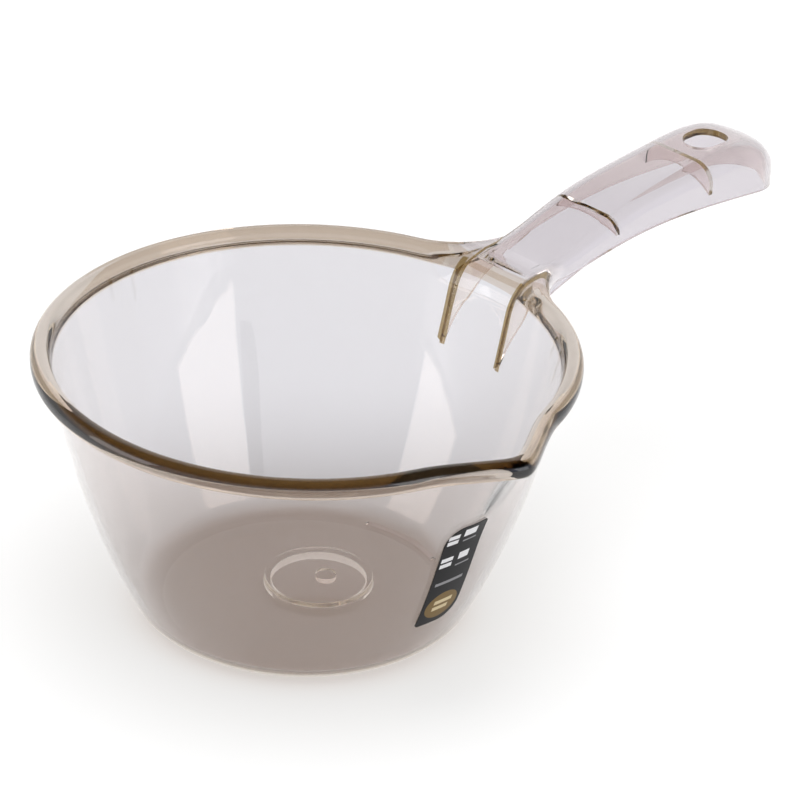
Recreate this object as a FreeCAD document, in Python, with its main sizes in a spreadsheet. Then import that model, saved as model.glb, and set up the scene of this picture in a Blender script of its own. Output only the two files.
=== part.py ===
"""Clear plastic water dipper: one injection moulding and its two-layer label.

The frame: +X runs along the handle, the spout points to -Y, +Z is up, and the origin is the middle of
the base on the surface that the dipper stands on. Sizes are millimetres and degrees, and each is a cell
of the spreadsheet "sizes".
"""
import FreeCAD
import Part
import math
import os
import types

SIZES = (
    ("rim_radius", 84.0, "outside of the rim bead"),
    ("rim_top", 88.7, "top of the rim above the table"),
    ("bead_rise", 5.8, "height of the rim bead"),
    ("bead_overhang", 4.8, "how far the bead stands out from the wall"),
    ("bead_top_round", 2.8, "rounding of the bead's outer top edge"),
    ("bead_under_round", 2.3, "rounding of the bead's outer lower edge"),
    ("lip_round", 2.8, "rounding from the inside of the bowl on to the rim"),
    ("wall", 2.2, "wall of the bowl"),
    ("floor_wall", 2.5, "floor of the bowl"),
    ("foot_radius", 44.0, "flat of the base"),
    ("foot_corner", 11.5, "outside corner between base and wall"),
    ("foot_lean", 27.0, "lean of the wall at the foot, degrees from upright"),
    ("rim_lean", 12.5, "lean of the wall at the rim, degrees from upright"),
    ("spout_reach", 10.0, "how far the spout stands out from the rim circle"),
    ("spout_half_angle", 17.5, "half of the arc that the spout takes of the rim, degrees"),
    ("spout_tip_angle", 1.8, "bluntness of the spout's tip, degrees"),
    ("spout_depth", 35.0, "height over which the spout's trough fades into the wall"),
    ("shoulder_round", 27.0, "hollow curve between the rim and the side of the handle"),
    ("shoulder_sink", 0.6, "how far that curve ends inside the side of the handle"),
    ("flare_round", 14.0, "curve from the inside of the bowl up on to the handle"),
    ("handle_reach", 206.0, "tip of the handle from the middle of the bowl"),
    ("handle_start", 82.0, "where the handle's own shell begins"),
    ("neck_half", 13.6, "half of the handle's width at its neck"),
    ("tip_half", 16.0, "half of the handle's width near its end"),
    ("tip_inset", 16.0, "from the handle's widest point to its tip"),
    ("deck_rise", 13.7, "highest point of the handle's top above the rim"),
    ("skirt_lift", 5.3, "highest point of the skirts' lower edge above the bead's"),
    ("deck_wall", 2.4, "thickness of the handle's top"),
    ("skirt_wall", 2.0, "thickness of the handle's sides"),
    ("neck_round", 4.0, "rounding of the handle's top edges at the neck"),
    ("tip_round", 8.0, "rounding of the handle's top edges at the end"),
    ("gusset_run", 36.0, "length of a gusset from the wall outwards"),
    ("gusset_drop", 22.0, "how far a gusset runs down the wall below the bead"),
    ("gusset_inset", 0.25, "step from the skirt's outside in to the gusset's"),
    ("web_wall", 1.6, "thickness of a cross web"),
    ("root_web_back", 82.3, "cross web nearer the bowl, back from the handle's tip"),
    ("root_web_depth", 1.9, "depth of that web in the middle"),
    ("root_web_arch", 37.8, "radius of that web's hollow lower edge"),
    ("tip_web_back", 39.0, "cross web nearer the slot, back from the handle's tip"),
    ("tip_web_depth", 3.7, "depth of that web in the middle"),
    ("tip_web_arch", 21.4, "radius of that web's hollow lower edge"),
    ("slot_back", 26.3, "middle of the hanging slot, back from the handle's tip"),
    ("slot_length", 16.2, "length of the hanging slot"),
    ("slot_width", 12.6, "width of the hanging slot"),
    ("slot_tilt", 3.0, "slope of the hanging slot across the handle's top, degrees"),
    ("disc_place", 7.2, "middle of the raised disc in the floor, towards the handle"),
    ("disc_radius", 17.6, "radius of the raised disc at its foot"),
    ("disc_rise", 2.5, "height of the raised disc above the floor"),
    ("disc_draft", 0.6, "how much smaller the disc's radius is at its top"),
    ("stub_place", 10.3, "middle of the gate stub, towards the handle"),
    ("stub_radius", 3.5, "radius of the gate stub at its root"),
    ("stub_draft", 0.4, "how much smaller the stub's radius is at its end"),
    ("stub_length", 1.8, "length of the gate stub"),
    ("label_width", 15.0, "width of the label round the wall"),
    ("label_low", 20.5, "lower edge of the label above the table"),
    ("label_high", 60.5, "upper edge of the label above the table"),
    ("label_turn", 3.2, "turn of the label's middle away from the spout, degrees"),
    ("label_leaf_round", 6.5, "rounding of the label's two leaf corners"),
    ("label_small_round", 1.2, "rounding of its other two corners"),
    ("adhesive_wall", 0.15, "thickness of the label's adhesive"),
    ("film_wall", 0.2, "thickness of the label's film"),
    ("overrun", 10.0, "how far a cutting shape runs past what it cuts"),
)

# The handle's top and the skirts' lower edge, from the neck to the tip: share of the way along, and share
# of deck_rise above the rim or of skirt_lift above the bead's lower edge.
DECK_SHARES = ((-0.21, -0.06), (-0.06, -0.045), (0.0, 0.0), (0.09, 0.125), (0.18, 0.335), (0.28, 0.577),
               (0.465, 0.818), (0.66, 0.956), (0.77, 1.0), (0.86, 0.912), (0.94, 0.693), (1.06, 0.18))
SKIRT_SHARES = ((-0.11, 0.2), (0.07, 0.1), (0.18, 0.43), (0.32, 0.85), (0.48, 1.0), (0.66, 0.81),
                (0.86, 0.4), (1.06, -0.06))
NECK_SHARE = 0.066
# A gusset's free edge: share of gusset_run out from the wall, and share of gusset_drop above the bead's
# lower edge.
GUSSET_SHARES = ((-0.17, -1.0), (-0.05, -0.72), (0.14, -0.44), (0.48, -0.13), (0.83, 0.05), (1.0, 0.2))
GUSSET_ROOT_TOP_SHARE = 0.05
GUSSET_TIP_TOP_SHARE = 0.215
# The spout's outline is this power of the way in from its ends, and its trough deepens with the square of
# the way up.
SPOUT_POWER = 1.7
SPOUT_WALL_SHARE = 0.92
# The flare takes the rim's inside over between these angles from the handle.
FLARE_FULL_ANGLE = 8.0
FLARE_NONE_ANGLE = 19.0
# Slopes, degrees from level, at which the inside shape leaves the rim and the handle's top.
LIP_EXIT = 18.0
FLARE_EXIT = 13.0
CHANNEL_LEAN_GAIN = 8.0
ROUND_STEPS = 144
CORNER_STEPS = 6
WALL_STEPS = 9
RISE_STEPS = 4
LIP_STEPS = 4
SPOUT_POINTS = 24
RUN_OUT_STEPS = 3
HALVINGS = 40
DEGREE = 3

doc = FreeCAD.newDocument("water_dipper")
sheet = doc.addObject("Spreadsheet::Sheet", "sizes")
for row, (name, value, note) in enumerate(SIZES, start=1):
    sheet.set(f"A{row}", name)
    sheet.set(f"B{row}", str(value))
    sheet.setAlias(f"B{row}", name)
    sheet.set(f"C{row}", note)
doc.recompute()
size = types.SimpleNamespace(**{name: float(sheet.get(name)) for name, _, _ in SIZES})
bead_low = size.rim_top - size.bead_rise
V = FreeCAD.Vector


def bound(kind, name, **expressions):
    """Add an object of a kind whose properties follow expressions on the sheet's cells."""
    item = doc.addObject(kind, name)
    for key, expression in expressions.items():
        item.setExpression(key, expression)
    return item


def holding(name, shape):
    """Add an object that holds a free-form shape."""
    item = doc.addObject("Part::Feature", name)
    item.Shape = shape
    return item


def combined(kind, name, *items):
    """Add a fusion of many items, or a cut or common of two."""
    item = doc.addObject(kind, name)
    if kind == "Part::MultiFuse":
        item.Shapes = list(items)
    else:
        item.Base, item.Tool = items
    return item


def drawn_out(name, face, direction, length, both_ways=False):
    """Extrude a face object along a direction by an expression."""
    item = bound("Part::Extrusion", name, LengthFwd=length)
    item.Base = face
    item.DirMode = "Custom"
    item.Dir = direction
    item.Solid = True
    item.Symmetric = both_ways
    return item


def place(item, x, y, z, axis=V(0, 0, 1), angle=0.0):
    """Put an item at a point, turned about an axis through it."""
    item.Placement = FreeCAD.Placement(V(x, y, z), FreeCAD.Rotation(axis, angle))
    return item


def spout_share(angle):
    """Rise of the spout at an angle from its middle in radians: 1 at the tip, 0 past its ends."""
    blunt = math.radians(size.spout_tip_angle)
    along = (math.hypot(angle, blunt) - blunt) / math.radians(size.spout_half_angle)
    return max(0.0, 1.0 - along) ** SPOUT_POWER


def trough_share(height):
    """Depth of the spout's trough in the wall at a height: 1 from the bead up, 0 below the trough."""
    up = (height - bead_low + size.spout_depth) / size.spout_depth
    return min(1.0, max(0.0, up)) ** 2


def wall_rows(inset, top_height):
    """Profile of the bowl, as radius and height from the flat of the base to a height on the wall.

    The outside is a corner arc and one curve whose lean falls from foot_lean to rim_lean; an inset
    moves the profile in, square to the wall.
    """
    turn = math.radians(90.0 - size.foot_lean)
    bend = size.foot_corner - inset
    rows = []
    for step in range(CORNER_STEPS + 1):
        angle = turn * step / CORNER_STEPS
        rows.append((size.foot_radius + bend * math.sin(angle), size.foot_corner - bend * math.cos(angle)))
    start = V(size.foot_radius + size.foot_corner * math.sin(turn),
              0, size.foot_corner * (1 - math.cos(turn)))
    end = V(size.rim_radius - size.bead_overhang, 0, bead_low)
    lean = [math.radians(size.foot_lean), math.radians(size.rim_lean)]
    reach = (end - start).Length / 3
    curve = Part.BezierCurve()
    curve.setPoles([start, start + V(math.sin(lean[0]), 0, math.cos(lean[0])) * reach,
                    end - V(math.sin(lean[1]), 0, math.cos(lean[1])) * reach, end])

    def point(share):
        along = curve.tangent(share)[0]
        return curve.value(share) + V(-along.z, 0, along.x) * inset

    low, high = 0.0, 1.0
    for _ in range(HALVINGS):
        middle = (low + high) / 2
        low, high = (middle, high) if point(middle).z < top_height else (low, middle)
    for step in range(1, WALL_STEPS + 1):
        found = point(high * step / WALL_STEPS)
        rows.append((found.x, found.z))
    return rows


def skin(rows_at, swell):
    """Solid inside a smooth skin round the bowl's axis, closed by a level face at each end.

    rows_at gives the profile at an angle from the handle, and swell is how far the spout moves it out.
    """
    # A cubic curve on equally turned poles runs inside them by this ratio.
    stretch = 3 / (2 + math.cos(2 * math.pi / ROUND_STEPS))
    poles = []
    for step in range(ROUND_STEPS):
        angle = 2 * math.pi * step / ROUND_STEPS
        rise = spout_share(math.remainder(angle + math.pi / 2, 2 * math.pi)) * swell
        column = []
        for radius, height in rows_at(math.remainder(angle, 2 * math.pi)):
            out = (radius + rise * trough_share(height)) * stretch
            column.append(V(out * math.cos(angle), out * math.sin(angle), height))
        poles.append(column)
    spans = len(poles[0]) - DEGREE
    surface = Part.BSplineSurface()
    surface.buildFromPolesMultsKnots(
        poles, [1] * (ROUND_STEPS + 1), [DEGREE + 1] + [1] * (spans - 1) + [DEGREE + 1],
        list(range(ROUND_STEPS + 1)), list(range(spans + 1)), True, False, DEGREE, DEGREE)
    side = surface.toShape()
    lids = [Part.Face(Part.Wire([edge])) for edge in side.Edges if edge.isClosed()]
    shell = Part.makeShell([side] + lids)
    shell.sewShape()
    solid = Part.Solid(Part.Shell(shell.Faces))
    if solid.Volume < 0:
        solid.reverse()
    return solid


def outside_rows(stand_off):
    """Profile of the wall's outside, moved out by stand_off and run up into the bead."""
    rows = wall_rows(-stand_off, bead_low)
    radius, height = rows[-1]
    lift = size.bead_rise / 2
    rows.append((radius + lift * math.tan(math.radians(size.rim_lean)), height + lift))
    return rows


def arc_rows(centre, radius, lean_from, slope_to, steps):
    """Points of a curve that turns from a leaning wall outwards to a slope, both in radians."""
    rows = []
    for step in range(steps + 1):
        angle = lean_from + (math.pi / 2 - slope_to - lean_from) * step / steps
        rows.append((centre[0] - radius * math.cos(angle), centre[1] + radius * math.sin(angle)))
    return rows


def flare_centre():
    """Middle of the curve from the bowl's inside on to the handle, as radius and height."""
    lean = math.radians(size.rim_lean)
    low = size.rim_top - size.flare_round
    radius, _ = wall_rows(size.wall, low + size.flare_round * math.sin(lean))[-1]
    return radius + size.flare_round * math.cos(lean), low


def inside_profiles():
    """Profiles of the space in the bowl, at the plain rim and at the handle, with as many points each."""
    lean = math.radians(size.rim_lean)
    centre = flare_centre()
    rows = wall_rows(size.wall, centre[1] + size.flare_round * math.sin(lean))
    raise_by = size.floor_wall - size.wall
    rows = [(radius, height + raise_by * max(0.0, 1 - step / CORNER_STEPS))
            for step, (radius, height) in enumerate(rows)]
    radius, height = rows[-1]
    lip_low = size.rim_top - size.lip_round * (1 - math.sin(lean))
    lip_radius = radius + (lip_low - height) * math.tan(lean)
    rise = [(radius + (lip_radius - radius) * step / RISE_STEPS, height + (lip_low - height) * step / RISE_STEPS)
            for step in range(1, RISE_STEPS)]
    lip = arc_rows((lip_radius + size.lip_round * math.cos(lean), size.rim_top - size.lip_round),
                   size.lip_round, lean, math.radians(LIP_EXIT), LIP_STEPS)
    flare = arc_rows(centre, size.flare_round, lean, math.radians(FLARE_EXIT), RISE_STEPS + LIP_STEPS)
    far = size.rim_radius + size.spout_reach + size.bead_rise
    high = size.rim_top + size.deck_rise + size.overrun
    profiles = []
    for tail, slope in ((rise + lip, LIP_EXIT), (flare[1:], FLARE_EXIT)):
        out, up = tail[-1]
        for step in range(1, RUN_OUT_STEPS):
            share = step / RUN_OUT_STEPS
            tail.append((out + (far - out) * share,
                         up + (far - out) * share * math.tan(math.radians(slope))))
        tail.append((far, tail[-1][1] + size.bead_rise))
        tail.append((far, high))
        profiles.append(rows + tail)
    return profiles


plain_profile, flared_profile = inside_profiles()


def inside_rows(angle):
    """Profile of the space in the bowl at an angle from the handle, in radians."""
    full = math.radians(FLARE_FULL_ANGLE)
    none = math.radians(FLARE_NONE_ANGLE)
    share = min(1.0, max(0.0, (abs(angle) - full) / (none - full)))
    share = share * share * (3 - 2 * share)
    return [(flared[0] + (plain[0] - flared[0]) * share, flared[1] + (plain[1] - flared[1]) * share)
            for plain, flared in zip(plain_profile, flared_profile)]


def handle_x(share):
    """Place along the handle, from the neck at 0 to the tip at 1."""
    neck = size.rim_radius + (size.handle_reach - size.rim_radius) * NECK_SHARE
    return neck + (size.handle_reach - neck) * share


def side_curve(shares, base, rise):
    """Smooth curve in the handle's middle plane through a table of shares."""
    curve = Part.BSplineCurve()
    curve.interpolate([V(handle_x(along), 0, base + rise * up) for along, up in shares])
    return curve


def deck_height(x):
    """Height of the handle's top on its middle line."""
    curve = side_curve(DECK_SHARES, size.rim_top, size.deck_rise)
    upright = Part.Line(V(x, 0, 0), V(x, 0, size.rim_top))
    return curve.intersectCC(upright)[0].Z


def handle_plan(inset, root):
    """Plan of the handle: straight sides that open out, and a round end tangent to them."""
    side_from = V(size.handle_start, size.neck_half, 0)
    side_to = V(size.handle_reach - size.tip_inset, size.tip_half, 0)
    along = (side_to - side_from).normalize()
    square = V(-along.y, along.x, 0)
    side_from = side_from - square * inset
    tip = size.handle_reach - inset
    radius = (side_from.y * square.y - (tip - side_from.x) * square.x) / (1 - square.x)
    touch = V(tip - radius, 0, 0) + square * radius
    start = side_from + along * ((root - side_from.x) / along.x)
    low_start = V(start.x, -start.y, 0)
    low_touch = V(touch.x, -touch.y, 0)
    edges = [Part.LineSegment(low_start, low_touch).toShape(),
             Part.Arc(low_touch, V(tip, 0, 0), touch).toShape(),
             Part.LineSegment(touch, start).toShape(),
             Part.LineSegment(start, low_start).toShape()]
    return Part.Face(Part.Wire(edges))


def between(top_edge, low_edge):
    """Upright face between two curves in the handle's middle plane."""
    ends = [Part.LineSegment(top_edge.valueAt(top_edge.LastParameter),
                             low_edge.valueAt(low_edge.LastParameter)).toShape(),
            Part.LineSegment(low_edge.valueAt(low_edge.FirstParameter),
                             top_edge.valueAt(top_edge.FirstParameter)).toShape()]
    return Part.Face(Part.Wire(Part.__sortEdges__([top_edge, low_edge] + ends)))


def rounded_block(name, plan, side, root_round, end_round):
    """Block with the handle's plan and side view, its top edges rounded more and more to the tip."""
    plan_block = drawn_out(f"{name}_plan", holding(f"{name}_plan_face", plan), V(0, 0, 1),
                           "sizes.rim_top + sizes.deck_rise + sizes.overrun")
    side_block = drawn_out(f"{name}_side", holding(f"{name}_side_face", side), V(0, 1, 0),
                           "2 * (sizes.tip_half + sizes.overrun)", both_ways=True)
    block = combined("Part::Common", f"{name}_block", plan_block, side_block)
    doc.recompute()
    top = max(block.Shape.Faces, key=lambda face: face.CenterOfMass.z)
    rounds = []
    for number, edge in enumerate(block.Shape.Edges, start=1):
        if edge.BoundBox.XLength < size.wall or not any(edge.isSame(other) for other in top.Edges):
            continue
        radii = [root_round if x < size.rim_radius else end_round
                 for x in (edge.valueAt(edge.FirstParameter).x, edge.valueAt(edge.LastParameter).x)]
        # The three edges are one run, so the far side is rounded from the tip back to the root.
        if any(radii == earlier[1:] != [end_round] * 2 for earlier in rounds):
            radii.reverse()
        rounds.append([number, *radii])
    rounded = doc.addObject("Part::Fillet", name)
    rounded.Base = block
    rounded.Edges = [tuple(entry) for entry in rounds]
    return rounded


def rim_outline():
    """Outline of the rim from above: circle, spout, and a hollow shoulder each side of the handle."""
    side_from = V(size.handle_start, size.neck_half, 0)
    side_to = V(size.handle_reach - size.tip_inset, size.tip_half, 0)
    along = (side_to - side_from).normalize()
    square = V(-along.y, along.x, 0)
    # The shoulder's middle is a shoulder radius off the sunk side line and off the circle.
    base = side_from + square * (size.shoulder_round - size.shoulder_sink)
    ahead = base.dot(along)
    gap = size.rim_radius + size.shoulder_round
    middle = base + along * (math.sqrt(ahead ** 2 - base.dot(base) + gap ** 2) - ahead)
    on_rim = middle * (size.rim_radius / gap)
    on_side = middle - square * size.shoulder_round
    between_them = ((on_rim - middle).normalize() + (on_side - middle).normalize()).normalize()
    bow = middle + between_them * size.shoulder_round
    mirror = [V(point.x, -point.y, 0) for point in (on_rim, bow, on_side)]
    blunt = math.radians(size.spout_tip_angle)
    ends = math.sqrt((math.radians(size.spout_half_angle) + blunt) ** 2 - blunt ** 2)
    points = []
    for step in range(SPOUT_POINTS + 1):
        angle = ends * (2 * step / SPOUT_POINTS - 1)
        radius = size.rim_radius + size.spout_reach * spout_share(angle)
        points.append(V(radius * math.sin(angle), -radius * math.cos(angle), 0))
    spout = Part.BSplineCurve()
    spout.interpolate(Points=points, InitialTangent=V(math.cos(ends), -math.sin(ends), 0),
                      FinalTangent=V(math.cos(ends), math.sin(ends), 0))
    left = V(-size.rim_radius, 0, 0)
    right_angle = (math.atan2(mirror[0].y, mirror[0].x) + ends - math.pi / 2) / 2
    right = V(size.rim_radius * math.cos(right_angle), size.rim_radius * math.sin(right_angle), 0)
    edges = [Part.Arc(on_side, bow, on_rim).toShape(), Part.Arc(on_rim, left, points[0]).toShape(),
             spout.toShape(), Part.Arc(points[-1], right, mirror[0]).toShape(),
             Part.Arc(*mirror).toShape(), Part.LineSegment(mirror[2], on_side).toShape()]
    return Part.Face(Part.Wire(edges))


def rim_bead():
    """The bead as a plate over the whole bowl, rounded above and below all along its outer edge."""
    face = holding("rim_outline", rim_outline())
    plate = drawn_out("rim_plate", face, V(0, 0, 1), "sizes.bead_rise")
    place(plate, 0, 0, bead_low)
    doc.recompute()
    rounds = []
    for number, edge in enumerate(plate.Shape.Edges, start=1):
        straight = edge.Curve.TypeId == "Part::GeomLine"
        if straight:
            continue
        under = edge.BoundBox.ZMax < bead_low + size.bead_rise / 2
        radius = size.bead_under_round if under else size.bead_top_round
        rounds.append((number, radius, radius))
    rounded = doc.addObject("Part::Fillet", "rim_bead")
    rounded.Base = plate
    rounded.Edges = rounds
    return rounded


def handle_outside():
    """The handle as a solid block from inside the rim to the tip."""
    deck = side_curve(DECK_SHARES, size.rim_top, size.deck_rise).toShape()
    skirt = side_curve(SKIRT_SHARES, bead_low, size.skirt_lift).toShape()
    return rounded_block("handle_outside", handle_plan(0.0, size.handle_start), between(deck, skirt),
                         size.neck_round, size.tip_round)


def gussets():
    """Both gussets as one block as wide as the neck; the handle's channel parts them."""
    root = size.rim_radius - size.bead_overhang
    points = [V(root + size.gusset_run * along, 0, bead_low + size.gusset_drop * up)
              for along, up in GUSSET_SHARES]
    curve = Part.BSplineCurve()
    curve.interpolate(points)
    tops = [V(points[0].x, 0, bead_low + size.gusset_drop * GUSSET_ROOT_TOP_SHARE),
            V(points[-1].x, 0, bead_low + size.gusset_drop * GUSSET_TIP_TOP_SHARE)]
    face = between(Part.LineSegment(*tops).toShape(), curve.toShape())
    return drawn_out("gusset_block", holding("gusset_face", face), V(0, 1, 0),
                     "2 * (sizes.neck_half - sizes.gusset_inset)", both_ways=True)


def channel():
    """Space under the handle, open below, that stops at the flare and at the bowl's wall."""
    low = bead_low - size.gusset_drop - size.overrun
    root = size.handle_start - size.overrun
    deck = side_curve(DECK_SHARES, size.rim_top - size.deck_wall, size.deck_rise)
    floor_line = Part.LineSegment(V(deck.StartPoint.x, 0, low), V(deck.EndPoint.x, 0, low))
    inside = rounded_block("channel_inside", handle_plan(size.skirt_wall, root),
                           between(deck.toShape(), floor_line.toShape()),
                           size.neck_round - size.skirt_wall, size.tip_round - size.skirt_wall)
    lean = math.radians(size.rim_lean)
    out, up = flare_centre()
    bend = size.flare_round - size.wall
    first, middle, last = [V(out - bend * math.cos(angle), 0, up + bend * math.sin(angle))
                           for angle in (lean, (lean + math.pi / 2) / 2, math.pi / 2)]
    drop = first.z - low
    foot = V(first.x - drop * math.tan(lean + math.radians(CHANNEL_LEAN_GAIN)), 0, low)
    high = size.rim_top + size.deck_rise
    far = size.handle_reach + size.overrun
    corners = [last, V(last.x, 0, high), V(far, 0, high), V(far, 0, low), foot, first]
    edges = [Part.LineSegment(*pair).toShape() for pair in zip(corners, corners[1:])]
    edges.append(Part.Arc(first, middle, last).toShape())
    face = Part.Face(Part.Wire(edges))
    limit = drawn_out("flare_limit", holding("flare_limit_face", face), V(0, 1, 0),
                      "2 * (sizes.tip_half + sizes.overrun)", both_ways=True)
    return combined("Part::Common", "channel", inside, limit)


def web(name):
    """One cross web under the handle's top as a plate with a hollow lower edge, wider than the handle."""
    x = size.handle_reach - getattr(size, f"{name}_back")
    centre = deck_height(x) - size.deck_wall - getattr(size, f"{name}_depth") - getattr(size, f"{name}_arch")
    plate = bound("Part::Box", f"{name}_plate", Length="sizes.web_wall", Width="2 * sizes.tip_half",
                  Height="sizes.bead_rise + sizes.deck_rise + sizes.overrun")
    place(plate, x - size.web_wall / 2, -size.tip_half, bead_low)
    hollow = bound("Part::Cylinder", f"{name}_hollow", Radius=f"sizes.{name}_arch",
                   Height="sizes.web_wall + 2 * sizes.overrun")
    place(hollow, x - size.web_wall / 2 - size.overrun, 0, centre, V(0, 1, 0), 90)
    return combined("Part::Cut", name, plate, hollow)


def hanging_slot():
    """Round-ended slot through the handle's top, square to its slope."""
    x = size.handle_reach - size.slot_back
    top = deck_height(x)
    turned = FreeCAD.Placement(V(x, 0, top), FreeCAD.Rotation(V(0, 1, 0), -size.slot_tilt))
    parts = []
    bar = bound("Part::Box", "slot_bar", Length="sizes.slot_length - sizes.slot_width",
                Width="sizes.slot_width", Height="sizes.deck_wall + 2 * sizes.overrun")
    reach = (size.slot_length - size.slot_width) / 2
    low = -size.deck_wall - size.overrun
    bar.Placement = turned * FreeCAD.Placement(V(-reach, -size.slot_width / 2, low), FreeCAD.Rotation())
    parts.append(bar)
    for name, side in (("near", -1), ("far", 1)):
        end = bound("Part::Cylinder", f"slot_{name}_end", Radius="sizes.slot_width / 2",
                    Height="sizes.deck_wall + 2 * sizes.overrun")
        end.Placement = turned * FreeCAD.Placement(V(side * reach, 0, low), FreeCAD.Rotation())
        parts.append(end)
    return combined("Part::MultiFuse", "hanging_slot", *parts)


def moulding():
    """The whole dipper but its label: bowl, bead, spout, handle, gussets, webs and gate disc."""
    canopy = combined("Part::MultiFuse", "canopy", rim_bead(), handle_outside(), gussets())
    webs = combined("Part::MultiFuse", "webs", web("root_web"), web("tip_web"))
    parted = combined("Part::Cut", "parted_channel", channel(), webs)
    hollow = combined("Part::Cut", "hollow_canopy", canopy, parted)
    rows = outside_rows(0.0)
    wall = holding("bowl_outside", skin(lambda angle: rows, size.spout_reach * SPOUT_WALL_SHARE))
    filled = combined("Part::MultiFuse", "filled_dipper", wall, hollow)
    inside = holding("bowl_inside", skin(inside_rows, size.spout_reach * SPOUT_WALL_SHARE))
    shell = combined("Part::Cut", "shell", filled, inside)
    pierced = combined("Part::Cut", "pierced_shell", shell, hanging_slot())
    disc = bound("Part::Cone", "gate_disc", Radius1="sizes.disc_radius",
                 Radius2="sizes.disc_radius - sizes.disc_draft", Height="sizes.disc_rise + sizes.floor_wall / 2")
    place(disc, size.disc_place, 0, size.floor_wall / 2)
    raised = combined("Part::MultiFuse", "raised_floor", pierced, disc)
    recess = bound("Part::Cylinder", "disc_recess", Radius="sizes.disc_radius - sizes.floor_wall",
                   Height="sizes.disc_rise + sizes.overrun")
    place(recess, size.disc_place, 0, -size.overrun)
    recessed = combined("Part::Cut", "recessed_floor", raised, recess)
    stub = bound("Part::Cone", "gate_stub", Radius1="sizes.stub_radius - sizes.stub_draft",
                 Radius2="sizes.stub_radius", Height="sizes.stub_length + sizes.floor_wall / 2")
    place(stub, size.stub_place, 0, size.disc_rise - size.stub_length)
    return combined("Part::MultiFuse", "dipper_body", recessed, stub)


def label_outline():
    """Outline of the label as seen from the spout: two leaf corners and two small ones."""
    half = size.label_width / 2
    corners = [(-half, size.label_low, size.label_small_round), (half, size.label_low, size.label_leaf_round),
               (half, size.label_high, size.label_small_round), (-half, size.label_high, size.label_leaf_round)]
    edges = []
    starts = []
    ends = []
    for x, z, radius in corners:
        inward_x = -math.copysign(radius, x)
        inward_z = math.copysign(radius, size.label_low + size.label_high - 2 * z)
        level = V(x + inward_x, 0, z)
        upright = V(x, 0, z + inward_z)
        middle = V(x + inward_x, 0, z + inward_z)
        bow = middle - V(inward_x, 0, inward_z).normalize() * radius
        first, last = (upright, level) if inward_x * inward_z > 0 else (level, upright)
        starts.append(first)
        ends.append(last)
        edges.append(Part.Arc(first, bow, last).toShape())
    for index, end in enumerate(ends):
        edges.append(Part.LineSegment(end, starts[(index + 1) % len(starts)]).toShape())
    return Part.Face(Part.Wire(Part.__sortEdges__(edges)))


def label():
    """The label's adhesive and film, each the part of a shell round the wall inside the outline."""
    skins = []
    for name, stand_off in (("wall_skin", 0.0), ("adhesive_skin", size.adhesive_wall),
                            ("film_skin", size.adhesive_wall + size.film_wall)):
        rows = outside_rows(stand_off)
        solid = skin(lambda angle, rows=rows: rows, size.spout_reach * SPOUT_WALL_SHARE)
        skins.append(holding(name, solid))
    layers = []
    for name, inner, outer in (("label_adhesive", 0, 1), ("label_film", 1, 2)):
        zone = drawn_out(f"{name}_zone", holding(f"{name}_outline", label_outline()), V(0, -1, 0),
                         "sizes.rim_radius + sizes.spout_reach")
        place(zone, 0, 0, 0, V(0, 0, 1), -size.label_turn)
        block = combined("Part::Common", f"{name}_block", zone, skins[outer])
        layers.append(combined("Part::Cut", name, block, skins[inner]))
    return layers


nodes = [moulding(), *label()]
doc.recompute()
for item in doc.Objects:
    if "Invalid" in item.State or "Error" in item.State:
        raise RuntimeError(f"{item.Name} failed: {item.State}")
for node in nodes:
    node.Label = node.Name
    if node.Shape.isNull() or not node.Shape.isValid():
        raise RuntimeError(f"{node.Label} has no valid shape")
os.makedirs("parts", exist_ok=True)
for node in nodes:
    node.Shape.exportStep(f"parts/{node.Label}.step")
    box = node.Shape.BoundBox
    print(f"{node.Label}: {len(node.Shape.Solids)} solid, {node.Shape.Volume:.1f} mm3,"
          f" X {box.XMin:.1f} to {box.XMax:.1f}, Y {box.YMin:.1f} to {box.YMax:.1f},"
          f" Z {box.ZMin:.1f} to {box.ZMax:.1f}")
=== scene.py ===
"""Clear smoky plastic water dipper: one injection moulding and its label, in a plain white studio.

The moulding is built again here as one smooth closed body, because clear plastic shows every facet of a
coarse mesh as a bend in what lies behind it. Sizes are millimetres and degrees and become metres where a
mesh is drawn. +X runs along the handle, the spout points to -Y and +Z is up.
"""
import logging
import math
from contextlib import contextmanager
from dataclasses import dataclass, field
from enum import Enum
from typing import Callable, Iterator, Sequence

import bmesh
import bpy
from mathutils import Matrix, Vector


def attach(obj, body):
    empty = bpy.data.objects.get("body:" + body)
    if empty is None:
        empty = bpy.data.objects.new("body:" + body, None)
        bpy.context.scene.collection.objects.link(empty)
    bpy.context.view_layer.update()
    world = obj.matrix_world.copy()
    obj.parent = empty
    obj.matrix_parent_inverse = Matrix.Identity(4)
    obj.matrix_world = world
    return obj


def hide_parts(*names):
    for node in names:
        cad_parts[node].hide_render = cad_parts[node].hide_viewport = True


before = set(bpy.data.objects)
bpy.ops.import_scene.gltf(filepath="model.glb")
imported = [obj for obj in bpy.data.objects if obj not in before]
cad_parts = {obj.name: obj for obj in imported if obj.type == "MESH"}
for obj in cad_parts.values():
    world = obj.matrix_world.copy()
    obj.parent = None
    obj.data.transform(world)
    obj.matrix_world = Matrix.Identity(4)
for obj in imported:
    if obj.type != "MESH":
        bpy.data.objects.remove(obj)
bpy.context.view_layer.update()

log = logging.getLogger("dipper")

METRES_PER_MM = 0.001
# A place that is as near as this to a level or an end is on it.
NEAR_MM = 0.001
# Half size of a box that has no end in that direction.
BEYOND_MM = 10000.0
# Steps of a search that halves its range each time.
HALVINGS = 40
PICTURE_SIDE = 800
SENSOR_MM = 36.0
WHITE = (1.0, 1.0, 1.0, 1.0)
BODY = "root"

Point = tuple[float, float, float]
Bar = tuple[float, float, float, float]
Row = tuple[float, float]


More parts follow.
